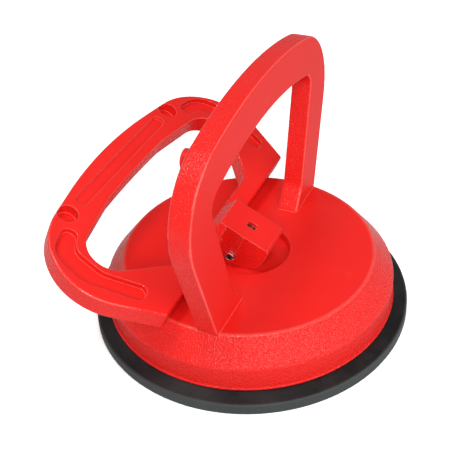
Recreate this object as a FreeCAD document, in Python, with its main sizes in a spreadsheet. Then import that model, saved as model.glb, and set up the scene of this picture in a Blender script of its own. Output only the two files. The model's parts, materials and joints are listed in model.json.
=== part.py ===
import FreeCAD, Part
import Sketcher
import math
import os

# Single-cup floor tile suction lifter, in millimetres.
# Origin: centre of the rubber pad's resting face. +Z is up, +Y runs along the lever's pivot pin,
# and +X points from the lever to the fixed handle. The lever is modelled flat in axes of its own
# that start on the pivot pin, and its Placement lays it open on the -X side.

doc = FreeCAD.newDocument("tile_suction_lifter")

# ---------------------------------------------------------------------------------------------
# Driving dimensions
# ---------------------------------------------------------------------------------------------

DIMENSIONS = [
    # housing, a round moulding turned about Z
    ("top_height", 25.0, "flat top above the floor"),
    ("top_radius", 47.0, "edge of the flat top"),
    ("band_radius", 54.3, "upright side band"),
    ("band_top", 15.8, "upper edge of the side band"),
    ("shell_bottom", 6.3, "lower edge of the housing, on the pad's rim"),
    ("lip_height", 0.8, "bead along the lower edge"),
    ("lip_depth", 0.45, "how far the bead stands out"),
    ("wall", 3.0, "wall of the moulding"),
    ("roof_edge", 45.2, "inside of the shell where roof and bevel meet"),
    ("band_round", 1.4, "rounding between bevel and side band"),
    ("inside_round", 2.0, "large inside roundings"),
    ("edge_soft", 0.8, "small roundings of the moulding"),
    ("lip_round", 0.3, "rounding of the bead"),
    ("recess_radius", 15.5, "cam recess in the flat top"),
    ("recess_floor", 20.9, "floor that the cam bears on"),
    ("floor_wall", 3.2, "thickness of the recess floor"),
    ("recess_chamfer", 0.5, "chamfer round the recess"),
    ("recess_round", 0.6, "rounding at the foot of the recess wall"),
    ("rib_inner", 30.0, "inner end of a stiffening rib"),
    ("rib_bottom", 8.5, "lower edge of a rib at the side wall"),
    ("rib_shallow", 4.0, "depth of a rib at its inner end"),
    ("rib_slope", 9.0, "length of a rib's sloping lower edge"),
    ("rib_thickness", 2.4, "thickness of a rib"),
    ("rib_count", 8, "ribs round the shell"),
    # fixed handle, an upright plate in the Y-Z plane (widths are half widths from Y = 0,
    # heights are above the flat top)
    ("handle_face", 1.2, "X of the face that the lever closes against"),
    ("handle_thickness", 8.0, "thickness of the handle"),
    ("handle_root", 2.0, "how far the legs run down into the shell"),
    ("leg_root_out", 46.6, "outer edge of a leg at its root"),
    ("shoulder_out", 66.0, "outer shoulder, corner before rounding, sideways"),
    ("shoulder_up", 62.4, "outer shoulder, height"),
    ("shoulder_round", 25.6, "outer shoulder radius"),
    ("crown_up", 78.5, "outer crown, apex before rounding"),
    ("crown_round", 165.0, "outer crown radius"),
    ("foot_in", 26.5, "inner edge of a leg's flared foot"),
    ("flare_in", 32.8, "inner edge of a leg above the flare"),
    ("flare_up", 8.0, "height of the flare"),
    ("flare_round", 6.0, "radius where the flare meets the leg"),
    ("grip_in", 44.8, "inner corner of the grip, sideways"),
    ("grip_up", 52.1, "inner corner of the grip, height"),
    ("grip_round", 6.0, "inner corner radius"),
    ("arch_up", 63.9, "underside of the grip, apex before rounding"),
    ("arch_round", 142.0, "radius of the underside of the grip"),
    ("peg_out", 37.6, "locating pegs on the handle's face, sideways"),
    ("peg_radius", 3.4, "radius of a peg"),
    ("peg_length", 3.4, "how far a peg stands out"),
    ("edge_round", 0.9, "rounding of the handles' long edges"),
    # pivot and cam
    ("pin_x", -4.0, "pivot axis, X at rest"),
    ("pin_z", 25.8, "pivot axis, Z with the lever open"),
    ("pin_radius", 2.0, "roll pin"),
    ("pin_length", 18.0, "roll pin"),
    ("pin_bore", 1.2, "bore of the rolled pin"),
    ("pin_slit", 0.8, "slit along the rolled pin"),
    ("open_angle", 26.0, "slope of the lever when it lies open"),
    ("swing", 64.0, "travel of the lever"),
    ("lift", 7.0, "rise of the stem over the whole swing"),
    ("cam_gap", 0.2, "running gap between cam and recess floor"),
    ("heel", 4.0, "flat of the cam behind the pivot"),
    # lever, in its own axes: X to the nose, Z out of its top face, handle towards -X
    ("lever_top", 4.9, "top face above the pivot axis"),
    ("lever_thickness", 8.0, "thickness of the D-shaped plate"),
    ("bar_near", 5.4, "edge of the cross bar beside the pivot"),
    ("bar_half", 51.5, "half length of the cross bar"),
    ("lever_shoulder_out", 74.8, "outer shoulder, corner before rounding, sideways"),
    ("lever_shoulder_up", 52.4, "outer shoulder, distance from the pivot"),
    ("lever_shoulder_round", 25.4, "outer shoulder radius"),
    ("lever_crown_up", 64.2, "outer crown, apex before rounding"),
    ("lever_crown_round", 185.0, "outer crown radius"),
    ("loop_near", 12.6, "finger loop, edge beside the cross bar"),
    ("loop_near_half", 28.9, "finger loop, half width there"),
    ("loop_near_round", 7.0, "radius of that corner"),
    ("loop_side_half", 61.3, "finger loop, widest corner, sideways"),
    ("loop_side_up", 40.7, "finger loop, widest corner, distance from the pivot"),
    ("loop_side_round", 10.2, "radius of that corner"),
    ("loop_far_half", 20.3, "finger loop, corner beside the grip, sideways"),
    ("loop_far_up", 47.3, "finger loop, corner beside the grip"),
    ("loop_far_round", 17.4, "radius of that corner"),
    ("loop_crown_up", 48.1, "finger loop, apex before rounding"),
    ("loop_crown_round", 450.0, "finger loop, crown radius"),
    ("lug_half", 7.5, "half width of the cam lug"),
    ("lug_top", 11.6, "top of the lug above the pivot axis"),
    ("lug_back", 9.2, "back edge of the lug's top, behind the pivot"),
    ("nose_round", 1.0, "radius of the nose's top edge"),
    ("gusset_half", 10.6, "half width of the gusset on the cross bar"),
    ("gusset_back", 12.2, "back end of the gusset"),
    ("cheek_rib_x", 0.5, "upright rib on each cheek, above the pin"),
    ("cheek_rib_foot", 2.0, "lower end of that rib"),
    ("cheek_rib_radius", 0.8, "radius of that rib"),
    ("cheek_rib_sunk", 0.3, "how far the rib's axis lies inside the cheek"),
    ("slot_half", 3.1, "half width of the slot for the stem"),
    ("window_back", 0.8, "slot seen from above, end behind the pivot"),
    ("window_front", 2.8, "slot seen from above, end before the pivot"),
    ("window_half", 1.5, "half width of the slot seen from above"),
    ("window_round", 0.6, "corner radius of the slot seen from above"),
    ("sweep_radius", 9.8, "room for the stem's head round the pivot"),
    ("shank_room", 6.4, "room for the stem's shank on either side"),
    ("bar_round", 0.6, "corners of the cross bar"),
    # corner channels cored out of the lever's top face, each running along one arm and round the
    # corner (sideways from the middle, distance from the pivot)
    ("channel_depth", 2.2, "depth of the channels"),
    ("channel_end_round", 2.6, "corner radius of the channels' ends"),
    ("channel_foot_in", 45.2, "end beside the cross bar, inner corner"),
    ("channel_foot_out", 52.6, "end beside the cross bar, outer corner"),
    ("channel_foot_up", 15.3, "end beside the cross bar"),
    ("channel_arm_out", 59.0, "outer side where the arm bends"),
    ("channel_arm_out_up", 35.0, "the same, distance from the pivot"),
    ("channel_arm_out_round", 12.0, "the same, radius"),
    ("channel_turn_out", 55.8, "outer side at the corner"),
    ("channel_turn_out_up", 49.8, "the same, distance from the pivot"),
    ("channel_turn_out_round", 10.0, "the same, radius"),
    ("channel_tip_out", 43.0, "end beside the grip, outer corner"),
    ("channel_tip_out_up", 52.3, "the same, distance from the pivot"),
    ("channel_tip_in", 42.4, "end beside the grip, inner corner"),
    ("channel_tip_in_up", 46.9, "the same, distance from the pivot"),
    ("channel_turn_in", 49.2, "inner side at the corner"),
    ("channel_turn_in_up", 44.0, "the same, distance from the pivot"),
    ("channel_turn_in_round", 6.0, "the same, radius"),
    ("channel_arm_in", 51.0, "inner side where the arm bends"),
    ("channel_arm_in_up", 31.5, "the same, distance from the pivot"),
    ("channel_arm_in_round", 9.0, "the same, radius"),
    ("grip_recess_depth", 1.2, "depth of the recess along the grip"),
    ("grip_recess_half", 31.0, "half length of that recess"),
    ("grip_recess_near", 51.8, "recess along the grip, near edge"),
    ("grip_recess_far", 56.6, "recess along the grip, far edge"),
    ("grip_recess_round", 2.2, "radius of its ends"),
    ("dimple_radius", 3.8, "dimple that takes a peg"),
    ("dimple_spare", 0.5, "depth of a dimple past the end of its peg"),
    ("dimple_up", 54.4, "dimples, distance from the pivot"),
    # stem, plate, pad and spring
    ("stem_width", 12.0, "flat bar of the stem"),
    ("stem_thickness", 5.4, "flat bar of the stem"),
    ("stem_head", 8.0, "bar above the pin"),
    ("stem_corner", 1.6, "radius of the bar's upper corners"),
    ("stem_hole", 2.05, "running fit on the pin"),
    ("tenon_width", 8.0, "tenon through the plate"),
    ("stem_play", 0.4, "play of the stem in the recess floor"),
    ("stem_slot_round", 0.6, "corner radius of the slot in the recess floor"),
    ("plate_radius", 27.0, "steel plate on the pad"),
    ("plate_thickness", 2.0, "steel plate on the pad"),
    ("plate_bottom", 5.4, "underside of the plate with the lever open"),
    ("plate_round", 0.5, "rounded rim of the plate"),
    ("pad_radius", 60.0, "rubber pad"),
    ("pad_edge", 4.5, "height of the pad's outer edge"),
    ("pad_ledge", 54.9, "inner end of the sloping ledge"),
    ("pad_middle", 5.2, "top of the pad under the plate"),
    ("pad_seat", 50.3, "inner end of the pad's flat seat under the housing"),
    ("pad_well", 33.0, "edge of the thinner middle"),
    ("pad_round", 0.5, "small roundings of the pad"),
    ("seal_inner", 52.5, "inner edge of the sealing lip"),
    ("groove_width", 2.4, "concentric grooves in the underside"),
    ("groove_depth", 0.9, "concentric grooves in the underside"),
    ("groove_count", 3, "concentric grooves in the underside"),
    ("spring_radius", 21.0, "mean radius of the coil"),
    ("spring_wire", 0.9, "radius of the wire"),
    ("spring_turns", 3.5, "turns"),
    ("spring_flats", 12, "flats that stand for the round of the wire, to keep the coil light"),
    # shared allowances
    ("overlap", 1.0, "how far a joined feature reaches into its neighbour"),
    ("past", 1.0, "how far a cutter runs past the face it opens"),
]

sheet = doc.addObject("Spreadsheet::Sheet", "Dims")
for row, (alias, number, note) in enumerate(DIMENSIONS, start=1):
    sheet.set("A%d" % row, note)
    sheet.set("B%d" % row, str(number))
    sheet.setAlias("B%d" % row, alias)
doc.recompute()


class Size:
    """A number together with the spreadsheet expression that drives it."""

    def __init__(self, value, text):
        self.value = value
        self.text = text

    def __neg__(self):
        return Size(-self.value, "-(%s)" % self.text)

    def __add__(self, other):
        other = as_size(other)
        return Size(self.value + other.value, "(%s + %s)" % (self.text, other.text))

    def __sub__(self, other):
        return self + -as_size(other)

    def __mul__(self, other):
        other = as_size(other)
        return Size(self.value * other.value, "(%s * %s)" % (self.text, other.text))

    def __truediv__(self, other):
        other = as_size(other)
        return Size(self.value / other.value, "(%s / %s)" % (self.text, other.text))

    __radd__ = __add__
    __rmul__ = __mul__


def as_size(number):
    return number if isinstance(number, Size) else Size(number, "%.12g" % number)


def sine(angle):
    return Size(math.sin(math.radians(angle.value)), "sin(%s * 1 deg)" % angle.text)


def cosine(angle):
    return Size(math.cos(math.radians(angle.value)), "cos(%s * 1 deg)" % angle.text)


class Table:
    """Reads the spreadsheet: dims.wall is the cell whose alias is wall."""

    def __getattr__(self, alias):
        return Size(float(sheet.get(alias)), "Dims.%s" % alias)


dims = Table()

# ---------------------------------------------------------------------------------------------
# Sketching helpers
# ---------------------------------------------------------------------------------------------


def new_body(label):
    body = doc.addObject("PartDesign::Body", label + "_body")
    body.Label = label
    return body


def origin_feature(body, role):
    return [item for item in body.Origin.OriginFeatures if item.Role == role][0]


def new_sketch(body, name, plane, offset=0):
    """An empty sketch on one of the body's origin planes, moved along the plane's normal."""
    sketch = body.newObject("Sketcher::SketchObject", name)
    sketch.AttachmentSupport = [(origin_feature(body, plane), "")]
    sketch.MapMode = "FlatFace"
    sketch.setExpression("AttachmentOffset.Base.z", as_size(offset).text)
    return sketch


def drive(sketch, kind, *references_and_size):
    """Adds a dimension to the sketch and binds it to the spreadsheet."""
    size = as_size(references_and_size[-1])
    references = references_and_size[:-1]
    index = sketch.addConstraint(Sketcher.Constraint(kind, *references, size.value))
    sketch.setExpression("Constraints[%d]" % index, size.text)


def fix_point(sketch, geometry, end, x, y):
    drive(sketch, "DistanceX", geometry, end, x)
    drive(sketch, "DistanceY", geometry, end, y)


def draw_circle(sketch, x, y, radius):
    x = as_size(x)
    y = as_size(y)
    centre = FreeCAD.Vector(x.value, y.value, 0)
    circle = sketch.addGeometry(Part.Circle(centre, FreeCAD.Vector(0, 0, 1), radius.value))
    fix_point(sketch, circle, 3, x, y)
    drive(sketch, "Radius", circle, radius)


def rounded_corner(before, corner, after, radius):
    """Centre and the two tangent points of the arc that rounds a corner."""
    towards_before = (before - corner).normalize()
    towards_after = (after - corner).normalize()
    half_angle = towards_before.getAngle(towards_after) / 2
    reach = radius / math.tan(half_angle)
    bisector = (towards_before + towards_after).normalize()
    centre = corner + bisector * (radius / math.sin(half_angle))
    return centre, corner + towards_before * reach, corner + towards_after * reach


def draw_outline(sketch, corners):
    """A closed outline of straight sides whose corners (x, y, radius) are rounded by arcs."""
    corners = [tuple(as_size(number) for number in corner) for corner in corners]
    points = [FreeCAD.Vector(x.value, y.value, 0) for x, y, radius in corners]
    count = len(corners)
    arcs = []
    leave = []
    arrive = []
    for i, (x, y, radius) in enumerate(corners):
        if radius.value == 0:
            arcs.append(None)
            arrive.append(points[i])
            leave.append(points[i])
            continue
        before = points[i - 1]
        after = points[(i + 1) % count]
        centre, start, end = rounded_corner(before, points[i], after, radius.value)
        left_turn = (points[i] - before).cross(after - points[i]).z > 0
        first, last = (start, end) if left_turn else (end, start)
        circle = Part.Circle(centre, FreeCAD.Vector(0, 0, 1), radius.value)
        arcs.append((Part.ArcOfCircle(circle, circle.parameter(first), circle.parameter(last)), left_turn))
        arrive.append(start)
        leave.append(end)
    sides = []
    for i in range(count):
        side = Part.LineSegment(leave[i], arrive[(i + 1) % count])
        sides.append(sketch.addGeometry(side))
    for i, (x, y, radius) in enumerate(corners):
        side_before = sides[i - 1]
        side_after = sides[i]
        mark = sketch.addGeometry(Part.Point(points[i]), True)
        fix_point(sketch, mark, 1, x, y)
        if arcs[i] is None:
            sketch.addConstraint(Sketcher.Constraint("Coincident", side_before, 2, mark, 1))
            sketch.addConstraint(Sketcher.Constraint("Coincident", side_after, 1, mark, 1))
            continue
        arc, left_turn = arcs[i]
        rounding = sketch.addGeometry(arc)
        near, far = (1, 2) if left_turn else (2, 1)
        sketch.addConstraint(Sketcher.Constraint("Tangent", side_before, 2, rounding, near))
        sketch.addConstraint(Sketcher.Constraint("Tangent", side_after, 1, rounding, far))
        sketch.addConstraint(Sketcher.Constraint("PointOnObject", mark, 1, side_before))
        sketch.addConstraint(Sketcher.Constraint("PointOnObject", mark, 1, side_after))
        drive(sketch, "Radius", rounding, radius)


def mirror_image(half):
    """The mirror image across x = 0 of a half outline, in the opposite order."""
    return [(-as_size(x), y, radius) for x, y, radius in reversed(half) if as_size(x).value != 0]


def mirrored(half):
    """A half outline with its mirror image."""
    return half + mirror_image(half)


def add_pad(body, sketch, length, midplane=False, reverse=False):
    pad = body.newObject("PartDesign::Pad", sketch.Name + "_pad")
    pad.Profile = sketch
    pad.setExpression("Length", as_size(length).text)
    pad.Midplane = midplane
    pad.Reversed = reverse
    return pad


def add_pocket(body, sketch, depth, midplane=False, reverse=False):
    """Cuts the sketch into the body, and makes sure that it takes material away."""
    volume_before = volume_of(body)
    pocket = body.newObject("PartDesign::Pocket", sketch.Name + "_pocket")
    pocket.Profile = sketch
    pocket.setExpression("Length", as_size(depth).text)
    pocket.Midplane = midplane
    pocket.Reversed = reverse
    if volume_of(body) >= volume_before:
        raise RuntimeError("%s cuts nothing" % pocket.Name)
    return pocket


def add_revolution(body, sketch):
    turned = body.newObject("PartDesign::Revolution", sketch.Name + "_turned")
    turned.Profile = sketch
    turned.ReferenceAxis = (sketch, ["V_Axis"])
    turned.Angle = 360
    return turned


def volume_of(body):
    doc.recompute()
    return body.Shape.Volume


def round_edges(body, name, radius, wanted):
    """Fillets every edge of the body's last feature that the test wants."""
    doc.recompute()
    base = body.Tip
    names = ["Edge%d" % (i + 1) for i, edge in enumerate(base.Shape.Edges) if wanted(edge)]
    fillet = body.newObject("PartDesign::Fillet", name)
    fillet.Base = (base, names)
    fillet.setExpression("Radius", as_size(radius).text)
    doc.recompute()
    return fillet


def lies_on(edge, axis, position):
    """True for an edge that stays on the plane where one coordinate has the given value."""
    box = edge.BoundBox
    low = getattr(box, axis + "Min")
    high = getattr(box, axis + "Max")
    return abs(low - position) < 1e-4 and abs(high - position) < 1e-4


# ---------------------------------------------------------------------------------------------
# Housing with the fixed handle, one moulding
# ---------------------------------------------------------------------------------------------


def shell_profile():
    """Half section of the shell: flat top, bevel, side band, and the cup of the cam recess."""
    inner_band = dims.band_radius - dims.wall
    roof = dims.top_height - dims.wall
    cup_bottom = dims.recess_floor - dims.floor_wall
    cup_radius = dims.recess_radius + dims.wall
    bead_top = dims.shell_bottom + dims.lip_height
    bead_radius = dims.band_radius + dims.lip_depth
    return [
        (0, dims.recess_floor, 0),
        (0, cup_bottom, 0),
        (cup_radius, cup_bottom, dims.edge_soft),
        (cup_radius, roof, dims.edge_soft),
        (dims.roof_edge, roof, dims.inside_round),
        (inner_band, dims.band_top - dims.recess_chamfer, dims.inside_round),
        (inner_band, dims.shell_bottom, 0),
        (bead_radius, dims.shell_bottom, dims.lip_round),
        (bead_radius, bead_top, dims.lip_round),
        (dims.band_radius, bead_top, 0),
        (dims.band_radius, dims.band_top, dims.band_round),
        (dims.top_radius, dims.top_height, dims.edge_soft),
        (dims.recess_radius + dims.recess_chamfer, dims.top_height, 0),
        (dims.recess_radius, dims.top_height - dims.recess_chamfer, 0),
        (dims.recess_radius, dims.recess_floor, dims.recess_round),
    ]


def handle_arch():
    """Outline of the fixed handle: up one leg, over the crown, and back round the finger opening."""
    top = dims.top_height
    root = top - dims.handle_root
    flare_slope = (dims.flare_in - dims.foot_in) / dims.flare_up
    outside = [
        (dims.leg_root_out, root, 0),
        (dims.shoulder_out, top + dims.shoulder_up, dims.shoulder_round),
        (0, top + dims.crown_up, dims.crown_round),
    ]
    inside = [
        (dims.foot_in - flare_slope * dims.handle_root, root, 0),
        (dims.flare_in, top + dims.flare_up, dims.flare_round),
        (dims.grip_in, top + dims.grip_up, dims.grip_round),
        (0, top + dims.arch_up, dims.arch_round),
    ]
    return outside + mirror_image(outside) + list(reversed(mirror_image(inside))) + list(reversed(inside))


def make_housing():
    body = new_body("housing")
    arch = new_sketch(body, "handle_arch", "YZ_Plane", dims.handle_face)
    draw_outline(arch, handle_arch())
    add_pad(body, arch, dims.handle_thickness)
    near_face = dims.handle_face.value
    far_face = near_face + dims.handle_thickness.value
    round_edges(body, "handle_edges", dims.edge_round,
                lambda edge: lies_on(edge, "X", near_face) or lies_on(edge, "X", far_face))

    section = new_sketch(body, "shell_section", "XZ_Plane")
    draw_outline(section, shell_profile())
    add_revolution(body, section)

    pegs = new_sketch(body, "pegs", "YZ_Plane", dims.handle_face)
    for side in (-1, 1):
        draw_circle(pegs, dims.peg_out * side, peg_height(), dims.peg_radius)
    add_pad(body, pegs, dims.peg_length, reverse=True)

    rib = new_sketch(body, "rib", "XZ_Plane")
    rib_top = dims.top_height - dims.wall + dims.overlap
    draw_outline(rib, [
        (dims.rib_inner, rib_top, 0),
        (dims.rib_inner, rib_top - dims.rib_shallow, 0),
        (dims.rib_inner + dims.rib_slope, dims.rib_bottom, 0),
        (dims.band_radius - dims.wall + dims.overlap, dims.rib_bottom, 0),
        (dims.band_radius - dims.wall + dims.overlap, dims.band_top - dims.overlap, 0),
        (dims.roof_edge - dims.overlap, rib_top, 0),
    ])
    first_rib = add_pad(body, rib, dims.rib_thickness, midplane=True)
    ribs = body.newObject("PartDesign::PolarPattern", "ribs")
    ribs.Originals = [first_rib]
    ribs.Axis = (origin_feature(body, "Z_Axis"), [""])
    ribs.Angle = 360
    ribs.setExpression("Occurrences", dims.rib_count.text)
    body.Tip = ribs

    slot = new_sketch(body, "stem_slot", "XY_Plane", dims.recess_floor + dims.past)
    half_width = dims.stem_width / 2 + dims.stem_play
    half_depth = dims.stem_thickness / 2 + dims.stem_play
    draw_outline(slot, [
        (dims.pin_x - half_width, -half_depth, dims.stem_slot_round),
        (dims.pin_x + half_width, -half_depth, dims.stem_slot_round),
        (dims.pin_x + half_width, half_depth, dims.stem_slot_round),
        (dims.pin_x - half_width, half_depth, dims.stem_slot_round),
    ])
    add_pocket(body, slot, dims.floor_wall + dims.past * 2)
    return body


def peg_height():
    """The pegs stand where the dimples come to when the lever is closed and lifted."""
    return dims.pin_z + dims.lift + dims.dimple_up


# ---------------------------------------------------------------------------------------------
# Lever handle with its cam
# ---------------------------------------------------------------------------------------------


def cam_rate():
    """Rise of the pivot per radian of the lever's swing."""
    return dims.lift / (dims.swing * (math.pi / 180))


def cam_height():
    """Pivot axis above the cam's flat when the lever is open."""
    return dims.pin_z - dims.recess_floor - dims.cam_gap


def cam_point(turned):
    """Where the cam bears on the floor after the lever has turned so far, in the lever's axes.

    The floor is level, so the point lies cam_rate beside the pivot line and the rise grows evenly:
    the cam is the involute of a circle of radius cam_rate, let out by cam_height.
    """
    down = dims.open_angle + turned
    height = cam_height() + cam_rate() * turned * (math.pi / 180)
    x = height * sine(down) + cam_rate() * cosine(down)
    z = cam_rate() * sine(down) - height * cosine(down)
    return x, z


def draw_cam_lug(sketch):
    """Side view of the lug: gusset, flat top, nose, involute, and the flat that rests when open."""
    nose = cam_height() + dims.lift
    open_x, open_z = cam_point(as_size(0))
    closed_x, closed_z = cam_point(dims.swing)
    flat = cam_rate() + dims.heel
    heel_x = open_x - flat * cosine(dims.open_angle)
    heel_z = open_z - flat * sine(dims.open_angle)
    underside = dims.lever_top - dims.lever_thickness
    steps = 12
    swing_steps = [dims.swing * (i / steps) for i in range(steps + 1)]
    bearing = [cam_point(turned) for turned in swing_steps]
    curve = Part.BSplineCurve()
    curve.interpolate([FreeCAD.Vector(x.value, z.value, 0) for x, z in bearing])
    corners = [
        (closed_x, closed_z),
        (nose, dims.lug_top - dims.nose_round),
        (nose - dims.nose_round, dims.lug_top),
        (-dims.lug_back, dims.lug_top),
        (-dims.gusset_back, dims.lever_top),
        (-dims.gusset_back, underside),
        (-dims.bar_near, underside),
        (heel_x, heel_z),
        (open_x, open_z),
    ]
    sides = []
    for (x1, z1), (x2, z2) in zip(corners, corners[1:]):
        start = FreeCAD.Vector(as_size(x1).value, as_size(z1).value, 0)
        end = FreeCAD.Vector(as_size(x2).value, as_size(z2).value, 0)
        sides.append(sketch.addGeometry(Part.LineSegment(start, end)))
    for side, (x, z) in zip(sides, corners):
        fix_point(sketch, side, 1, x, z)
    for side, following in zip(sides, sides[1:]):
        sketch.addConstraint(Sketcher.Constraint("Coincident", side, 2, following, 1))
    fix_point(sketch, sides[-1], 2, open_x, open_z)
    spline = sketch.addGeometry(curve)
    sketch.addConstraint(Sketcher.Constraint("Block", spline))


def lever_outlines():
    outer = [
        (dims.bar_half, -dims.bar_near, dims.bar_round),
        (dims.lever_shoulder_out, -dims.lever_shoulder_up, dims.lever_shoulder_round),
        (0, -dims.lever_crown_up, dims.lever_crown_round),
    ]
    inner = [
        (dims.loop_near_half, -dims.loop_near, dims.loop_near_round),
        (dims.loop_side_half, -dims.loop_side_up, dims.loop_side_round),
        (dims.loop_far_half, -dims.loop_far_up, dims.loop_far_round),
        (0, -dims.loop_crown_up, dims.loop_crown_round),
    ]
    return outer, inner


def lengthwise(outline):
    """Turns an outline drawn across (y) and along (x) the lever into sketch axes x and y."""
    return [(along, across, radius) for across, along, radius in outline]


def corner_channel(side):
    """Channel cored out of one corner and arm of the lever's top face."""
    half = [
        (dims.channel_foot_in, dims.channel_foot_up, dims.channel_end_round),
        (dims.channel_foot_out, dims.channel_foot_up, dims.channel_end_round),
        (dims.channel_arm_out, dims.channel_arm_out_up, dims.channel_arm_out_round),
        (dims.channel_turn_out, dims.channel_turn_out_up, dims.channel_turn_out_round),
        (dims.channel_tip_out, dims.channel_tip_out_up, dims.channel_end_round),
        (dims.channel_tip_in, dims.channel_tip_in_up, dims.channel_end_round),
        (dims.channel_turn_in, dims.channel_turn_in_up, dims.channel_turn_in_round),
        (dims.channel_arm_in, dims.channel_arm_in_up, dims.channel_arm_in_round),
    ]
    return [(-along, across * side, radius) for across, along, radius in half]


def make_lever():
    body = new_body("lever_handle")
    outer, inner = lever_outlines()
    plate = new_sketch(body, "lever_plate", "XY_Plane", dims.lever_top - dims.lever_thickness)
    draw_outline(plate, lengthwise(mirrored(outer)))
    draw_outline(plate, lengthwise(mirrored(inner)))
    add_pad(body, plate, dims.lever_thickness)

    top = dims.lever_top.value
    underside = top - dims.lever_thickness.value

    def plate_edge(edge):
        return lies_on(edge, "Z", top) or lies_on(edge, "Z", underside)

    round_edges(body, "plate_edges", dims.edge_round, plate_edge)

    for name, side in (("front", -1), ("rear", 1)):
        channel = new_sketch(body, name + "_channel", "XY_Plane", dims.lever_top)
        draw_outline(channel, corner_channel(side))
        add_pocket(body, channel, dims.channel_depth)

    recess = new_sketch(body, "grip_recess", "XY_Plane", dims.lever_top)
    draw_outline(recess, lengthwise([
        (dims.grip_recess_half, -dims.grip_recess_near, dims.grip_recess_round),
        (dims.grip_recess_half, -dims.grip_recess_far, dims.grip_recess_round),
        (-dims.grip_recess_half, -dims.grip_recess_far, dims.grip_recess_round),
        (-dims.grip_recess_half, -dims.grip_recess_near, dims.grip_recess_round),
    ]))
    add_pocket(body, recess, dims.grip_recess_depth)

    dimples = new_sketch(body, "dimples", "XY_Plane", dims.lever_top)
    for side in (-1, 1):
        draw_circle(dimples, -dims.dimple_up, dims.peg_out * side, dims.dimple_radius)
    add_pocket(body, dimples, dims.peg_length + dims.dimple_spare)

    lug = new_sketch(body, "cam_lug", "XZ_Plane")
    draw_cam_lug(lug)
    add_pad(body, lug, dims.lug_half * 2, midplane=True)

    gusset = body.newObject("PartDesign::AdditiveWedge", "gusset")
    gusset.AttachmentSupport = [(origin_feature(body, "XZ_Plane"), "")]
    gusset.MapMode = "FlatFace"
    wedge = {
        "Xmin": -dims.gusset_back,
        "Xmax": -dims.bar_near - dims.edge_round,
        "X2min": -dims.lug_back,
        "X2max": -dims.bar_near - dims.edge_round,
        "Ymin": dims.lever_top - dims.overlap,
        "Ymax": dims.lug_top,
        "Zmin": -dims.gusset_half,
        "Zmax": dims.gusset_half,
        "Z2min": -dims.lug_half,
        "Z2max": dims.lug_half,
    }
    for name, size in wedge.items():
        gusset.setExpression(name, size.text)

    ribs = new_sketch(body, "cheek_ribs", "XY_Plane", dims.cheek_rib_foot)
    for side in (-1, 1):
        draw_circle(ribs, dims.cheek_rib_x, (dims.lug_half - dims.cheek_rib_sunk) * side,
                    dims.cheek_rib_radius)
    add_pad(body, ribs, dims.lug_top - dims.cheek_rib_foot)

    head_room = new_sketch(body, "head_room", "XZ_Plane")
    draw_circle(head_room, 0, 0, dims.sweep_radius)
    add_pocket(body, head_room, dims.slot_half * 2, midplane=True)
    shank_room = new_sketch(body, "shank_room", "XZ_Plane")
    draw_shank_room(shank_room)
    add_pocket(body, shank_room, dims.slot_half * 2, midplane=True)

    window = new_sketch(body, "slot_window", "XY_Plane", dims.lug_top + dims.past)
    draw_outline(window, [
        (-dims.window_back, -dims.window_half, dims.window_round),
        (dims.window_front, -dims.window_half, dims.window_round),
        (dims.window_front, dims.window_half, dims.window_round),
        (-dims.window_back, dims.window_half, dims.window_round),
    ])
    add_pocket(body, window, dims.lug_top)

    hole = new_sketch(body, "pin_hole", "XZ_Plane")
    draw_circle(hole, 0, 0, dims.pin_radius)
    add_pocket(body, hole, (dims.lug_half + dims.past) * 2, midplane=True)

    body.Placement.Rotation = FreeCAD.Rotation(FreeCAD.Vector(0, 1, 0), dims.open_angle.value)
    body.setExpression("Placement.Base.x", dims.pin_x.text)
    body.setExpression("Placement.Base.z", dims.pin_z.text)
    body.setExpression("Placement.Rotation.Angle", dims.open_angle.text)
    return body


def draw_shank_room(sketch):
    """The sector that the stem's shank sweeps below its head, seen in the lever's axes.

    The shank hangs down from the pin. It leaves the lug's underside with the lever open, and its
    nose with the lever closed.
    """
    room = dims.shank_room
    reach = dims.sweep_radius * 2
    down_x = sine(dims.open_angle)
    down_z = -cosine(dims.open_angle)
    side_x = room * down_z
    side_z = -room * down_x
    draw_outline(sketch, [
        (side_x, side_z, 0),
        (side_x + down_x * reach, side_z + down_z * reach, 0),
        (reach, side_z + down_z * reach, 0),
        (reach, room, 0),
        (0, room, 0),
    ])


# ---------------------------------------------------------------------------------------------
# Pin, stem, plate, pad and spring
# ---------------------------------------------------------------------------------------------


def make_pin():
    body = new_body("pivot_pin")
    ring = new_sketch(body, "pin_ring", "XZ_Plane")
    draw_circle(ring, 0, 0, dims.pin_radius)
    draw_circle(ring, 0, 0, dims.pin_bore)
    add_pad(body, ring, dims.pin_length, midplane=True)
    slit = new_sketch(body, "pin_slit", "XZ_Plane")
    half = dims.pin_slit / 2
    draw_outline(slit, [
        (0, -half, 0),
        (dims.pin_radius + dims.past, -half, 0),
        (dims.pin_radius + dims.past, half, 0),
        (0, half, 0),
    ])
    add_pocket(body, slit, dims.pin_length + dims.past, midplane=True)
    body.setExpression("Placement.Base.x", dims.pin_x.text)
    body.setExpression("Placement.Base.z", dims.pin_z.text)
    return body


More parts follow.
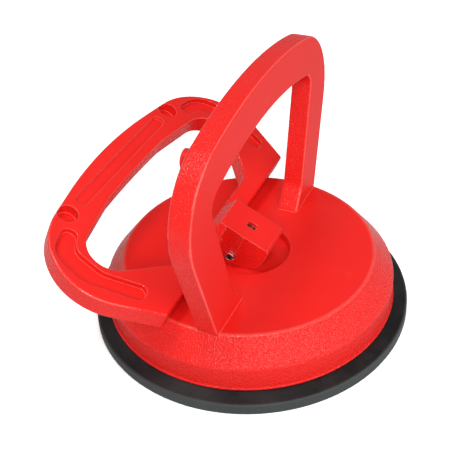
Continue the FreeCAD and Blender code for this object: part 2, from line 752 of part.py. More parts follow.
def make_stem():
    body = new_body("pull_stem")
    half = dims.stem_width / 2
    foot = dims.plate_bottom + dims.plate_thickness - dims.pin_z
    bar = new_sketch(body, "stem_bar", "XZ_Plane")
    draw_outline(bar, [
        (-half, foot, 0),
        (half, foot, 0),
        (half, dims.stem_head, dims.stem_corner),
        (-half, dims.stem_head, dims.stem_corner),
    ])
    draw_circle(bar, 0, 0, dims.stem_hole)
    add_pad(body, bar, dims.stem_thickness, midplane=True)
    tenon = new_sketch(body, "stem_tenon", "XZ_Plane")
    draw_outline(tenon, [
        (-dims.tenon_width / 2, foot - dims.plate_thickness, 0),
        (dims.tenon_width / 2, foot - dims.plate_thickness, 0),
        (dims.tenon_width / 2, foot + dims.overlap, 0),
        (-dims.tenon_width / 2, foot + dims.overlap, 0),
    ])
    add_pad(body, tenon, dims.stem_thickness, midplane=True)
    body.setExpression("Placement.Base.x", dims.pin_x.text)
    body.setExpression("Placement.Base.z", dims.pin_z.text)
    return body


def make_plate():
    body = new_body("pad_plate")
    section = new_sketch(body, "plate_section", "XZ_Plane")
    plate_top = dims.plate_bottom + dims.plate_thickness
    draw_outline(section, [
        (0, dims.plate_bottom, 0),
        (dims.plate_radius, dims.plate_bottom, dims.plate_round),
        (dims.plate_radius, plate_top, dims.plate_round),
        (0, plate_top, 0),
    ])
    add_revolution(body, section)
    slot = new_sketch(body, "tenon_slot", "XY_Plane", plate_top + dims.past)
    half_width = dims.tenon_width / 2
    half_depth = dims.stem_thickness / 2
    draw_outline(slot, [
        (dims.pin_x - half_width, -half_depth, 0),
        (dims.pin_x + half_width, -half_depth, 0),
        (dims.pin_x + half_width, half_depth, 0),
        (dims.pin_x - half_width, half_depth, 0),
    ])
    add_pocket(body, slot, dims.plate_thickness + dims.past * 2)
    return body


def make_pad():
    body = new_body("suction_pad")
    section = new_sketch(body, "pad_section", "XZ_Plane")
    draw_outline(section, [
        (0, 0, 0),
        (dims.pad_radius, 0, dims.pad_round),
        (dims.pad_radius, dims.pad_edge, dims.pad_round),
        (dims.pad_ledge, dims.shell_bottom, dims.pad_round),
        (dims.pad_seat, dims.shell_bottom, dims.pad_round),
        (dims.pad_well, dims.pad_middle, dims.inside_round),
        (0, dims.pad_middle, 0),
    ])
    add_revolution(body, section)
    for number in range(int(dims.groove_count.value)):
        outside = dims.seal_inner - dims.groove_width * (2 * number)
        groove = new_sketch(body, "groove_%d" % (number + 1), "XY_Plane")
        draw_circle(groove, 0, 0, outside)
        draw_circle(groove, 0, 0, outside - dims.groove_width)
        add_pocket(body, groove, dims.groove_depth, reverse=True)
    return body


def make_spring():
    body = new_body("return_spring")
    bottom = dims.plate_bottom + dims.plate_thickness + dims.spring_wire
    top = dims.top_height - dims.wall - dims.spring_wire
    wire = new_sketch(body, "spring_wire", "XZ_Plane")
    flats = int(dims.spring_flats.value)
    corners = []
    for number in range(flats):
        angle = as_size(360.0 / flats) * number
        corners.append((dims.spring_radius + dims.spring_wire * cosine(angle),
                        bottom + dims.spring_wire * sine(angle), 0))
    draw_outline(wire, corners)
    coil = body.newObject("PartDesign::AdditiveHelix", "coil")
    coil.Profile = wire
    coil.ReferenceAxis = (wire, ["V_Axis"])
    coil.Mode = 2
    coil.setExpression("Height", (top - bottom).text)
    coil.setExpression("Turns", dims.spring_turns.text)
    return body


# ---------------------------------------------------------------------------------------------
# Build, check and write
# ---------------------------------------------------------------------------------------------

bodies = [
    make_housing(),
    make_lever(),
    make_pin(),
    make_stem(),
    make_plate(),
    make_pad(),
    make_spring(),
]
doc.recompute()

for item in doc.Objects:
    if "Invalid" in item.State or "Error" in item.State:
        raise RuntimeError("%s did not build: %s" % (item.Name, item.State))
for body in bodies:
    if body.Shape.isNull() or not body.Shape.isValid() or len(body.Shape.Solids) != 1:
        raise RuntimeError("%s is not one sound solid" % body.Label)

os.makedirs("parts", exist_ok=True)
for body in bodies:
    body.Shape.exportStep(os.path.join("parts", body.Label + ".step"))
    box = body.Shape.BoundBox
    print("%-14s %9.1f mm3  x %6.1f..%6.1f  y %6.1f..%6.1f  z %6.1f..%6.1f" % (
        body.Label, body.Shape.Volume, box.XMin, box.XMax, box.YMin, box.YMax, box.ZMin, box.ZMax))
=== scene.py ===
import json
import math

import bmesh
import bpy
from mathutils import Matrix, Vector

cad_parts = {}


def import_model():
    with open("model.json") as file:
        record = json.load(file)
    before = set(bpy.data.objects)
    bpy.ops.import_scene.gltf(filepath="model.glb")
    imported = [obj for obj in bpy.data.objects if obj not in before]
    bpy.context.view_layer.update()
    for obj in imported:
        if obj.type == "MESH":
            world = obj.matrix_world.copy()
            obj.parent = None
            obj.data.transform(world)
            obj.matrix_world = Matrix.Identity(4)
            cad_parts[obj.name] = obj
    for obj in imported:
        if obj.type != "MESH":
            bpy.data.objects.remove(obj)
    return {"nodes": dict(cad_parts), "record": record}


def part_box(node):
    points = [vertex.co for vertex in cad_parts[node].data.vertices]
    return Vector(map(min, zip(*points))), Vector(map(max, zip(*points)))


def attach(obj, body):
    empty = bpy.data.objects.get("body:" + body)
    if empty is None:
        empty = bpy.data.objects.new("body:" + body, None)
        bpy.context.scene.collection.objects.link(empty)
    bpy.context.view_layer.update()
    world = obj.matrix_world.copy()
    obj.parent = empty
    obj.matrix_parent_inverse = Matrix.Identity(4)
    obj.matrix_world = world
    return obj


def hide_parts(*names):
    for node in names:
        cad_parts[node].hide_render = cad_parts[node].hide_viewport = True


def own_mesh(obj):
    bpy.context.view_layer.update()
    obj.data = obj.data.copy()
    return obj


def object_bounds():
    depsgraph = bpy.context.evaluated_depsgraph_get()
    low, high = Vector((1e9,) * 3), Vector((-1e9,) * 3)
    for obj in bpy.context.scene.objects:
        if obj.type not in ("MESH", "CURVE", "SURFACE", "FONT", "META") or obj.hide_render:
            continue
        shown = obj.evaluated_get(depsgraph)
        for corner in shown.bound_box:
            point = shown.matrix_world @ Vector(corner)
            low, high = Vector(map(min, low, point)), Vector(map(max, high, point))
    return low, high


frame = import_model()
cad_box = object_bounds()

# Hand suction lifter for floor tiles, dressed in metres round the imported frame: +Z up, +Y along
# the lever's pivot pin, +X from the lever to the fixed handle, origin under the pad's middle.

MM = 0.001
TURN = 2 * math.pi
WHITE = (1, 1, 1, 1)
BLACK = (0, 0, 0, 1)

# ---------------------------------------------------------------------------------------------
# Shader maths
# ---------------------------------------------------------------------------------------------


class Wire:
    """An output of a node in a finish. Arithmetic on it adds Math nodes."""

    def __init__(self, finish, socket):
        self.finish = finish
        self.socket = socket

    def maths(self, operation, first, second, clamp=False):
        settings = {"operation": operation, "use_clamp": clamp}
        return self.finish.node("Math", settings, {0: first, 1: second})

    def __add__(self, other):
        return self.maths("ADD", self, other)

    def __radd__(self, other):
        return self.maths("ADD", other, self)

    def __sub__(self, other):
        return self.maths("SUBTRACT", self, other)

    def __rsub__(self, other):
        return self.maths("SUBTRACT", other, self)

    def __mul__(self, other):
        return self.maths("MULTIPLY", self, other)

    def __rmul__(self, other):
        return self.maths("MULTIPLY", other, self)

    def __pow__(self, other):
        return self.maths("POWER", self, other)

    def clamped(self):
        """Kept between 0 and 1."""
        return self.maths("ADD", self, 0.0, clamp=True)

    def ramp(self, low, high):
        """0 below low, 1 above high, smooth between them."""
        settings = {"interpolation_type": "SMOOTHSTEP"}
        values = {"Value": self, "From Min": low, "From Max": high}
        return self.finish.node("MapRange", settings, values)

    def band(self, rise, fall):
        """1 between a rise and a fall, 0 outside them. Each is given by its low and its high."""
        return self.ramp(*rise) * (1 - self.ramp(*fall))


class Finish:
    """A procedural material: its node tree, its surface shader, and the piece's own coordinates."""

    def __init__(self, name):
        self.material = bpy.data.materials.new(name)
        self.material.use_nodes = True
        self.tree = self.material.node_tree
        self.tree.nodes.clear()
        self.place = self.node("TexCoord", output="Object")

    def node(self, kind, settings=None, values=None, output=0):
        """Adds a node: its settings first, then the values or links of its inputs."""
        made = self.tree.nodes.new("ShaderNode" + kind)
        for name, setting in (settings or {}).items():
            setattr(made, name, setting)
        for name, value in (values or {}).items():
            socket = made.inputs[name]
            if isinstance(value, Wire):
                self.tree.links.new(value.socket, socket)
            else:
                socket.default_value = value
        return Wire(self, made.outputs[output])

    def noise(self, size, detail=2.0, roughness=0.5):
        """Noise from 0 to 1 whose patches are about the given size."""
        values = {"Vector": self.place, "Scale": 1 / size, "Detail": detail, "Roughness": roughness}
        return self.node("TexNoise", {"noise_dimensions": "3D"}, values)

    def blend(self, share, first, second):
        """A colour between two others."""
        settings = {"data_type": "RGBA"}
        values = {0: share, 6: first, 7: second}
        return self.node("Mix", settings, values, output=2)

    def along(self, axis):
        """The place along one of the piece's own axes, which is given by its letter."""
        return self.node("SeparateXYZ", None, {0: self.place}, output=axis)

    def off_axis(self):
        """The distance from the piece's own Z axis."""
        x = self.along("X")
        y = self.along("Y")
        return (x * x + y * y) ** 0.5

    def function(self, operation, value):
        """A Math node that takes one value."""
        return self.node("Math", {"operation": operation}, {0: value})

    def dot(self, first, second):
        """How closely two directions agree: 1 where they are the same."""
        settings = {"operation": "DOT_PRODUCT"}
        return self.node("VectorMath", settings, {0: first, 1: second}, output="Value")

    def against(self, direction):
        """How squarely the surface faces along a direction of the piece, either way: 0 to 1."""
        facing = self.node("TexCoord", output="Normal")
        return self.function("ABSOLUTE", self.dot(facing, direction))

    def rounded_normal(self, radius):
        """The surface normal with its sharp edges rounded off."""
        return self.node("Bevel", {"samples": 10}, {"Radius": radius})

    def sharp_edges(self, rounded):
        """1 along the sharp edges that a rounded normal turns, 0 on the faces between them."""
        plain = self.node("NewGeometry", output="Normal")
        return (1 - self.dot(rounded, plain)).ramp(0.008, 0.09)

    def bump(self, height, distance, over=None):
        """Relief on the surface, or on another normal."""
        values = {"Height": height, "Distance": distance}
        if over:
            values["Normal"] = over
        return self.node("Bump", None, values)

    def surface(self, **values):
        """The surface shader, with underscores for the spaces in its inputs' names."""
        inputs = {name.replace("_", " "): value for name, value in values.items()}
        shader = self.node("BsdfPrincipled", None, inputs)
        out = self.tree.nodes.new("ShaderNodeOutputMaterial")
        self.tree.links.new(shader.socket, out.inputs["Surface"])
        return self.material


# ---------------------------------------------------------------------------------------------
# Finishes
# ---------------------------------------------------------------------------------------------

# The housing: the height and radius of its flat top, and the heights between which the polish and
# the pale paint of its sharp edges set in; the pale paint is partly wear and partly a painted
# highlight.
FLAT_TOP = 25.0 * MM
FLAT_EDGE = 47.0 * MM
WEAR_AND_HIGHLIGHT_ABOVE = (14.0 * MM, 18.0 * MM)

# Where the lever's handle ends and its cam lug starts, along X.
LUG_STARTS = (-20.0 * MM, -14.0 * MM)

# The pad's radius, and the height of its outer edge.
PAD_RADIUS = 60.0 * MM
PAD_EDGE = 4.35 * MM

GRAIN_SIZE = 0.54 * MM
GRAIN_DEPTH = 0.36 * MM
MOULDED_ROUNDING = 0.6 * MM
STEEL_ROUNDING = 0.35 * MM
MARKS_APART = 0.55 * MM

# How squarely a surface faces along its handle's plate direction is 0 on the handle's rim and 1 on
# its broad faces. The first band is the whole rounded edge between them, the second its crest,
# which
# is painted pale: partly wear and partly a painted highlight.
ROUNDED_EDGE = ((0.10, 0.34), (0.90, 0.985))
HIGHLIGHT_CREST = ((0.38, 0.60), (0.76, 0.92))

RED_DEEP = (0.815, 0.0140, 0.0115, 1)
RED_FULL = (0.855, 0.0200, 0.0150, 1)
RED_RUBBED = (0.86, 0.038, 0.030, 1)
RED_WORN_AND_HIGHLIGHT = (0.92, 0.24, 0.20, 1)

RUBBER_DARK = (0.0015, 0.0013, 0.0014, 1)
RUBBER_BLOOM = (0.0110, 0.0080, 0.0088, 1)
RUBBER_DUSTY = (0.031, 0.038, 0.039, 1)
RUBBER_DUSTIEST = (0.051, 0.061, 0.062, 1)
RUBBER_WORN = (0.060, 0.064, 0.064, 1)

STEEL_BRIGHT = ((0.72, 0.71, 0.70, 1), (0.88, 0.87, 0.86, 1))
STEEL_DULL = ((0.58, 0.59, 0.60, 1), (0.72, 0.73, 0.74, 1))


def red_moulding(name, plate, shell=False):
    """Bright red moulded plastic. The handle's broad faces look along the direction plate and are
    smooth. Its rim has the fine grain of a spark-eroded mould, and the edges between them are
    polished and painted a little pale, partly as wear and partly as a painted highlight. On the
    shell the flat top is smooth and the rest is grained, and the flat top's edge is painted pale as
    a painted highlight line."""
    finish = Finish(name)
    flow = finish.noise(26 * MM, detail=3.0)
    grain = finish.noise(GRAIN_SIZE, detail=0.5)
    pits = finish.noise(1.6 * MM, detail=2.0)
    rubbed = finish.noise(7 * MM, detail=4.0, roughness=0.65)
    squarely = finish.against(plate)
    coarse = (0.55 + 0.3 * rubbed) * (1 - 0.8 * squarely.ramp(0.90, 0.99))
    rounded = finish.rounded_normal(MOULDED_ROUNDING)
    sharp = finish.sharp_edges(rounded)
    # handle is 1 on the piece's handle and 0 on the rest. rim is 1 along the flat top's edge, which
    # is
    #         polished and painted pale as a painted highlight line.
    if shell:
        height = finish.along("Z")
        radius = finish.off_axis()
        handle = height.ramp(FLAT_TOP + 0.3 * MM, FLAT_TOP + 1.4 * MM)
        outside = radius.ramp(FLAT_EDGE - 0.4 * MM, FLAT_EDGE + 0.2 * MM)
        coarse = handle * coarse + (1 - handle) * (0.08 + 1.1 * outside)
        sharp = sharp * height.ramp(*WEAR_AND_HIGHLIGHT_ABOVE)
        rim = radius.band((FLAT_EDGE - 1.1 * MM, FLAT_EDGE - 0.6 * MM),
                          (FLAT_EDGE, FLAT_EDGE + 0.5 * MM))
        rim = rim * height.ramp(FLAT_TOP - 1.0 * MM, FLAT_TOP - 0.4 * MM) * (1 - handle)
    else:
        handle = 1 - finish.along("X").ramp(*LUG_STARTS)
        rim = 0.0
    broken = (0.45 + 0.75 * pits).clamped()
    polished = (squarely.band(*ROUNDED_EDGE) * handle + rim + sharp).clamped() * broken
    # Painted highlight, partly wear: the edge crests, the sharp edges and the flat top's rim are
    # painted pale.
    pale_wear_and_highlight = (squarely.band(*HIGHLIGHT_CREST) * handle + rim * 0.6 + sharp).clamped() * broken
    colour = finish.blend(flow, RED_DEEP, RED_FULL)
    colour = finish.blend(rubbed.ramp(0.60, 0.78) * 0.35, colour, RED_RUBBED)
    # The pale edge colour is a painted highlight along the edges, partly wear.
    colour = finish.blend(pale_wear_and_highlight * 0.40, colour, RED_WORN_AND_HIGHLIGHT)
    matt = 0.16 * squarely.ramp(0.93, 0.99)
    rough = (0.27 + matt + 0.08 * flow + 0.06 * pits - 0.09 * coarse) * (1 - 0.75 * polished)
    relief = ((grain - 0.5) * 0.9 + (pits - 0.5) * 0.1) * coarse * (1 - 0.5 * polished)
    return finish.surface(Base_Color=colour, Roughness=rough, Specular_IOR_Level=0.27,
                          Coat_Weight=polished * 0.25, Coat_Roughness=0.14,
                          Normal=finish.bump(relief, GRAIN_DEPTH, over=rounded))


def pad_rubber():
    """Near-black rubber: a dusty bloom on its side, a paler rubbed rim, and faint turning marks."""
    finish = Finish("pad_rubber")
    radius = finish.off_axis()
    side = radius.ramp(PAD_RADIUS - 0.45 * MM, PAD_RADIUS - 0.1 * MM)
    rim = radius.ramp(PAD_RADIUS - 1.0 * MM, PAD_RADIUS - 0.5 * MM)
    rim = rim * finish.along("Z").ramp(PAD_EDGE - 0.35 * MM, PAD_EDGE)
    bloom = finish.noise(8 * MM, detail=4.0, roughness=0.6)
    skin = finish.noise(0.7 * MM, detail=3.0)
    turning_marks = finish.function("SINE", radius * (TURN / MARKS_APART))
    dark = finish.blend(bloom.ramp(0.35, 0.7), RUBBER_DARK, RUBBER_BLOOM)
    dusty = finish.blend(bloom, RUBBER_DUSTY, RUBBER_DUSTIEST)
    colour = finish.blend(side, dark, dusty)
    colour = finish.blend(rim * (0.25 + 0.5 * bloom), colour, RUBBER_WORN)
    rough = 0.40 + 0.16 * bloom + 0.06 * skin
    relief = skin * 0.7 + turning_marks * 0.12 + bloom * 0.6
    return finish.surface(Base_Color=colour, Roughness=rough, Specular_IOR_Level=0.34,
                          Normal=finish.bump(relief, 0.09 * MM))


def bright_steel():
    """Bright rolled steel of the pin and the spring, with its sharp edges rounded off."""
    finish = Finish("bright_steel")
    drawn = finish.noise(0.3 * MM, detail=2.0)
    stain = finish.noise(2.5 * MM, detail=3.0)
    rough = 0.18 + 0.12 * drawn + 0.14 * stain
    colour = finish.blend(drawn, *STEEL_BRIGHT)
    rounded = finish.rounded_normal(STEEL_ROUNDING)
    return finish.surface(Base_Color=colour, Metallic=1.0, Roughness=rough,
                          Normal=finish.bump(drawn, 0.012 * MM, over=rounded))


def dull_steel():
    """Zinc-plated steel of the stem and the plate."""
    finish = Finish("dull_steel")
    spangle = finish.noise(1.2 * MM, detail=3.0)
    wear = finish.noise(5 * MM, detail=4.0)
    rough = 0.36 + 0.16 * spangle + 0.10 * wear
    colour = finish.blend(spangle, *STEEL_DULL)
    return finish.surface(Base_Color=colour, Metallic=1.0, Roughness=rough,
                          Normal=finish.bump(spangle, 0.02 * MM))


def paint(name, finish):
    """Gives a CAD node its finish."""
    node = frame["nodes"][name]
    node.data.materials.clear()
    node.data.materials.append(finish)


# The lever lies open at this slope, and its plate looks along this direction.
LEVER_SLOPE = math.radians(26)
LEVER_PLATE = (math.sin(LEVER_SLOPE), 0, math.cos(LEVER_SLOPE))
FIXED_PLATE = (1, 0, 0)

RUBBER = pad_rubber()
BRIGHT = bright_steel()
DULL = dull_steel()

paint("housing", red_moulding("red_moulding", FIXED_PLATE, shell=True))
paint("lever_handle", red_moulding("red_moulding_lever", LEVER_PLATE))
for node_name in ("pivot_pin", "return_spring"):
    paint(node_name, BRIGHT)
for node_name in ("pull_stem", "pad_plate"):
    paint(node_name, DULL)
paint("suction_pad", RUBBER)

# ---------------------------------------------------------------------------------------------
# Geometry Nodes
# ---------------------------------------------------------------------------------------------

SAME_SPOT = 2e-6
NO_LENGTH = 1e-7
CREASE = math.radians(32)


class Tree:
    """A Geometry Nodes tree with named inputs, written the same way as a finish."""

    def __init__(self, name):
        self.group = bpy.data.node_groups.new(name, "GeometryNodeTree")
        for way in ("INPUT", "OUTPUT"):
            kind = "NodeSocketGeometry"
            self.group.interface.new_socket("Geometry", in_out=way, socket_type=kind)
        self.start = self.group.nodes.new("NodeGroupInput")
        self.end = self.group.nodes.new("NodeGroupOutput")
        self.given = {}

    def input(self, name, kind, value):
        """A named input and the value that the modifier gives it."""
        kind = "NodeSocket" + kind
        socket = self.group.interface.new_socket(name, in_out="INPUT", socket_type=kind)
        self.given[socket.identifier] = value
        return self.start.outputs[name]

    def node(self, kind, settings=None, values=None, output=0):
        """Adds a node: its settings first, then the values or links of its inputs."""
        made = self.group.nodes.new(kind)
        for name, setting in (settings or {}).items():
            setattr(made, name, setting)
        for name, value in (values or {}).items():
            if isinstance(value, bpy.types.NodeSocket):
                self.group.links.new(value, made.inputs[name])
            else:
                made.inputs[name].default_value = value
        return made.outputs[output]

    def maths(self, operation, first, second=0.0):
        return self.node("ShaderNodeMath", {"operation": operation}, {0: first, 1: second})

    def run(self, piece, geometry, material):
        """Ends the tree, runs it on the piece, and leaves the piece with the plain mesh."""
        real = self.node("GeometryNodeRealizeInstances", None, {"Geometry": geometry})
        values = {"Geometry": real, "Material": material}
        dressed = self.node("GeometryNodeSetMaterial", None, values)
        self.group.links.new(dressed, self.end.inputs[0])
        modifier = piece.modifiers.new("shape", "NODES")
        modifier.node_group = self.group
        for identifier, value in self.given.items():
            modifier[identifier] = value
        graph = bpy.context.evaluated_depsgraph_get()
        mesh = bpy.data.meshes.new_from_object(piece.evaluated_get(graph))
        piece.modifiers.remove(modifier)
        piece.data = mesh
        faces_outward(piece)


def faces_outward(piece):
    """Joins doubled points, drops empty faces, turns every face outwards, and shades the faces
    smoothly except across a crease."""
    shape = bmesh.new()
    shape.from_mesh(piece.data)
    bmesh.ops.remove_doubles(shape, verts=shape.verts, dist=SAME_SPOT)
    bmesh.ops.dissolve_degenerate(shape, edges=shape.edges, dist=NO_LENGTH)
    bmesh.ops.recalc_face_normals(shape, faces=shape.faces)
    for face in shape.faces:
        face.smooth = True
    for edge in shape.edges:
        if len(edge.link_faces) == 2 and edge.calc_face_angle() > CREASE:
            edge.smooth = False
    shape.to_mesh(piece.data)
    shape.free()


def new_object(name, data):
    """Adds an object to the scene, at the origin."""
    made = bpy.data.objects.new(name, data)
    bpy.context.scene.collection.objects.link(made)
    return made


# ---------------------------------------------------------------------------------------------
# Rubber pad
# ---------------------------------------------------------------------------------------------

FLAT_MIDDLE = 39.5 * MM
GROOVES = (42.9 * MM, 47.7 * MM, 52.5 * MM)
GROOVE_WIDTH = 2.4 * MM
GROOVE_DEPTH = 0.85 * MM
GROOVE_SLOPE = 0.3 * MM
PAD_ROUNDING = 0.28 * MM
PAD_STEPS = 192


def lathe(piece, material, corner_round, steps_round):
    """Turns the piece, a closed outline in the XZ plane, round Z: its corners are rounded first."""
    tree = Tree("lathe")
    rounding = tree.input("Corner radius", "Float", corner_round)
    steps = tree.input("Steps round", "Int", steps_round)
    outline = tree.node("GeometryNodeMeshToCurve", None, {"Mesh": tree.start.outputs[0]})
    rounded = tree.node("GeometryNodeFilletCurve", {"mode": "POLY"},
                        {"Curve": outline, "Count": 3, "Radius": rounding, "Limit Radius": True})
    points = tree.node("GeometryNodeCurveToPoints", {"mode": "EVALUATED"}, {"Curve": rounded})
    count = tree.node("GeometryNodeAttributeDomainSize", {"component": "POINTCLOUD"},
                      {"Geometry": points}, output="Point Count")
    rows = tree.maths("ADD", count, 1.0)
    columns = tree.maths("ADD", steps, 1.0)
    sheet = tree.node("GeometryNodeMeshGrid", None, {"Vertices X": rows, "Vertices Y": columns})
    number = tree.node("GeometryNodeInputIndex")
    row = tree.maths("FLOOR", tree.maths("DIVIDE", tree.maths("ADD", number, 0.5), columns))
    column = tree.maths("SUBTRACT", number, tree.maths("MULTIPLY", row, columns))
    angle = tree.maths("MULTIPLY", tree.maths("DIVIDE", column, steps), TURN)
    here = tree.node("GeometryNodeInputPosition")
    corner = tree.node("GeometryNodeSampleIndex", {"data_type": "FLOAT_VECTOR", "domain": "POINT"},
                       {"Geometry": points, "Value": here,
                        "Index": tree.maths("FLOORED_MODULO", row, count)})
    split = tree.node("ShaderNodeSeparateXYZ", None, {0: corner}).node
    across = tree.maths("MULTIPLY", split.outputs[0], tree.maths("COSINE", angle))
    along = tree.maths("MULTIPLY", split.outputs[0], tree.maths("SINE", angle))
    spot = tree.node("ShaderNodeCombineXYZ", None, {0: across, 1: along, 2: split.outputs[2]})
    turned = tree.node("GeometryNodeSetPosition", None, {"Geometry": sheet, "Position": spot})
    closed = tree.node("GeometryNodeMergeByDistance", None,
                       {"Geometry": turned, "Distance": SAME_SPOT})
    tree.run(piece, closed, material)


def suction_pad():
    """The rubber pad: a thin skirt with a sloping ledge outside the housing, a flat seat under the
    housing, a thinner middle under the plate, and three sealing grooves in its underside."""
    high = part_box("suction_pad")[1]
    radius = high.x
    top = high.z
    plate_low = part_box("pad_plate")[0].z
    middle = min(top - 1.1 * MM, plate_low - 0.2 * MM)
    outline = [(0, 0), (FLAT_MIDDLE, 0)]
    for outer in GROOVES:
        inner = outer - GROOVE_WIDTH
        outline += [
            (inner, 0),
            (inner + GROOVE_SLOPE, GROOVE_DEPTH),
            (outer - GROOVE_SLOPE, GROOVE_DEPTH),
            (outer, 0),
        ]
    side = [
        (radius - 0.35 * MM, 0),
        (radius, 0.8 * MM),
        (radius - 0.1 * MM, PAD_EDGE),
    ]
    ledge = [
        (radius - 0.7 * MM, 4.6 * MM),
        (57.3 * MM, 5.25 * MM),
        (54.9 * MM, 6.18 * MM),
    ]
    seat = [
        (54.2 * MM, top),
        (50.3 * MM, top),
    ]
    well = [
        (33.0 * MM, middle),
        (0, middle),
    ]
    corners = [(x, 0, z) for x, z in outline + side + ledge + seat + well]
    edges = [(i, (i + 1) % len(corners)) for i in range(len(corners))]
    mesh = bpy.data.meshes.new("rubber_pad")
    mesh.from_pydata(corners, edges, [])
    piece = new_object("rubber_pad", mesh)
    lathe(piece, RUBBER, PAD_ROUNDING, PAD_STEPS)
    return piece


pad = suction_pad()
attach(pad, "base")
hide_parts("suction_pad")

# ---------------------------------------------------------------------------------------------
# Return spring
# ---------------------------------------------------------------------------------------------

WIRE_RADIUS = 0.9 * MM
COIL_TURNS = 3.5


def return_coil(low, high):
    """An open coil of round wire that fills the given box from the plate to the housing's roof."""
    tree = Tree("coil")
    turns = tree.input("Turns", "Float", COIL_TURNS)
    reach = tree.input("Mean radius", "Float", (high.y - low.y) / 2 - WIRE_RADIUS)
    rise = tree.input("Rise", "Float", high.z - low.z - 2 * WIRE_RADIUS)
    thick = tree.input("Wire radius", "Float", WIRE_RADIUS)
    path = tree.node("GeometryNodeCurveSpiral", None,
                     {"Resolution": 48, "Rotations": turns, "Start Radius": reach,
                      "End Radius": reach, "Height": rise})
    section = tree.node("GeometryNodeCurvePrimitiveCircle", None,
                        {"Resolution": 16, "Radius": thick})
    coil = tree.node("GeometryNodeCurveToMesh", None,
                     {"Curve": path, "Profile Curve": section, "Fill Caps": True})
    placed = tree.node("GeometryNodeTransform", None,
                       {"Geometry": coil, "Translation": (0, 0, low.z + WIRE_RADIUS)})
    piece = new_object("return_coil", bpy.data.meshes.new("return_coil"))
    tree.run(piece, placed, BRIGHT)
    return piece


spring_low, spring_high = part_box("return_spring")
spring_length = spring_high.z - spring_low.z
lift = next(joint["range_m"][1] for joint in frame["record"]["behaviour"]["joints"]
            if joint["name"] == "stem_lift")
spring = return_coil(spring_low, spring_high)
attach(spring, "base")
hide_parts("return_spring")
(spring_length - lift) / spring_length
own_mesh(spring)

# ---------------------------------------------------------------------------------------------
# Floor, light and camera
# ---------------------------------------------------------------------------------------------

# Strengths of the surroundings: for the light that they give, and in reflections.
AMBIENT = 0.26
REFLECTED = 0.30

FLOOR_REACH = 3.0
PAPER = ((0.69, 0.69, 0.69, 1), (0.73, 0.73, 0.73, 1))
PAPER_TO_CAMERA = (1.7, 1.7, 1.7, 1)
GLOW_STARTS = 0.22
GLOW_FULL = 0.60

LAMPS_AIM = (0, 0, 0.03)

# Each lamp's name, place, size and power.
LAMPS = (
    ("overhead", (-0.14, -0.06, 0.80), (0.20, 0.20), 1.8),
    ("key", (0.56, -0.46, 0.66), (0.60, 0.50), 3.5),
    ("front", (0.15, -0.71, 0.47), (0.20, 0.10), 1.9),
    ("beside_camera", (0.33, -0.60, 0.62), (0.12, 0.12), 0.7),
    ("right_fill", (0.86, 0.05, 0.25), (0.5, 0.4), 1.9),
    ("left_edges", (-0.62, -0.16, 0.55), (0.07, 0.07), 0.55),
)


def floor():
    """A pale floor that looks white to the camera, keeps the soft shadow near the lifter, and glows
    to the camera further off, where the lamps don't reach."""
    mesh = bpy.data.meshes.new("floor")
    signs = ((-1, -1), (1, -1), (1, 1), (-1, 1))
    corners = [(x * FLOOR_REACH, y * FLOOR_REACH, 0) for x, y in signs]
    mesh.from_pydata(corners, [], [(0, 1, 2, 3)])
    ground = new_object("floor", mesh)
    ground.location.z = cad_box[0].z
    finish = Finish("floor")
    tone = finish.noise(0.4, detail=1.0)
    paper = finish.blend(tone, *PAPER)
    seen = finish.node("LightPath", output="Is Camera Ray")
    colour = finish.blend(seen, paper, PAPER_TO_CAMERA)
    far = finish.off_axis().ramp(GLOW_STARTS, GLOW_FULL)
    glow = finish.blend(seen * far, BLACK, WHITE)
    finish.surface(Base_Color=colour, Roughness=0.9, Specular_IOR_Level=0.0,
                   Emission_Color=glow, Emission_Strength=1.0)
    mesh.materials.append(finish.material)


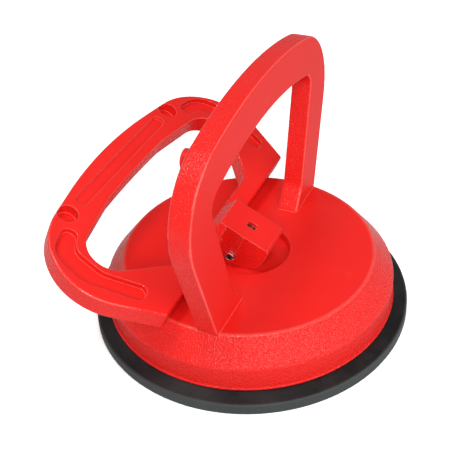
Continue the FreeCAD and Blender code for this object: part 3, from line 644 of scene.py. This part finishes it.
def world():
    """Soft grey surroundings for the light, a little paler in reflections, white to the camera."""
    surroundings = bpy.data.worlds.new("studio")
    surroundings.use_nodes = True
    tree = surroundings.node_tree
    tree.nodes.clear()
    path = tree.nodes.new("ShaderNodeLightPath")
    out = tree.nodes.new("ShaderNodeOutputWorld")
    shown = None
    shades = ((None, AMBIENT), ("Is Glossy Ray", REFLECTED), ("Is Transmission Ray", 1.0),
              ("Is Camera Ray", 1.0))
    for ray, strength in shades:
        light = tree.nodes.new("ShaderNodeBackground")
        light.inputs["Color"].default_value = WHITE
        light.inputs["Strength"].default_value = strength
        if ray:
            choice = tree.nodes.new("ShaderNodeMixShader")
            tree.links.new(path.outputs[ray], choice.inputs[0])
            tree.links.new(shown.outputs[0], choice.inputs[1])
            tree.links.new(light.outputs[0], choice.inputs[2])
            light = choice
        shown = light
    tree.links.new(shown.outputs[0], out.inputs["Surface"])
    bpy.context.scene.world = surroundings


def soft_box(name, place, size, power):
    """A rectangular lamp that is turned towards the lifter."""
    light = bpy.data.lights.new(name, "AREA")
    light.shape = "RECTANGLE"
    light.size, light.size_y = size
    light.energy = power
    lamp = new_object(name, light)
    lamp.location = place
    lamp.rotation_euler = (Vector(LAMPS_AIM) - Vector(place)).to_track_quat("-Z", "Y").to_euler()


CAMERA_PLACE = Vector((111.1, -235.9, 233.6)) * MM
CAMERA_AIM = Vector((-7.54, -3.18, 35.79)) * MM
CAMERA_ROLL = math.radians(4.13)
FOCAL_LENGTH = 70.97
SENSOR_WIDTH = 36


def camera():
    """The view that the lifter is seen from: over its right front, turned a little on its axis."""
    back = (CAMERA_PLACE - CAMERA_AIM).normalized()
    side = Vector((0, 0, 1)).cross(back).normalized()
    up = back.cross(side)
    across = side * math.cos(CAMERA_ROLL) - up * math.sin(CAMERA_ROLL)
    upright = side * math.sin(CAMERA_ROLL) + up * math.cos(CAMERA_ROLL)
    turn = Matrix((across, upright, back)).transposed()
    lens = bpy.data.cameras.new("camera")
    lens.lens = FOCAL_LENGTH
    lens.sensor_width = SENSOR_WIDTH
    lens.clip_start = 0.01
    viewer = new_object("camera", lens)
    viewer.matrix_world = Matrix.Translation(CAMERA_PLACE) @ turn.to_4x4()
    bpy.context.scene.camera = viewer


floor()
world()
for lamp_row in LAMPS:
    soft_box(*lamp_row)
camera()
bpy.context.scene.view_settings.view_transform = "Standard"
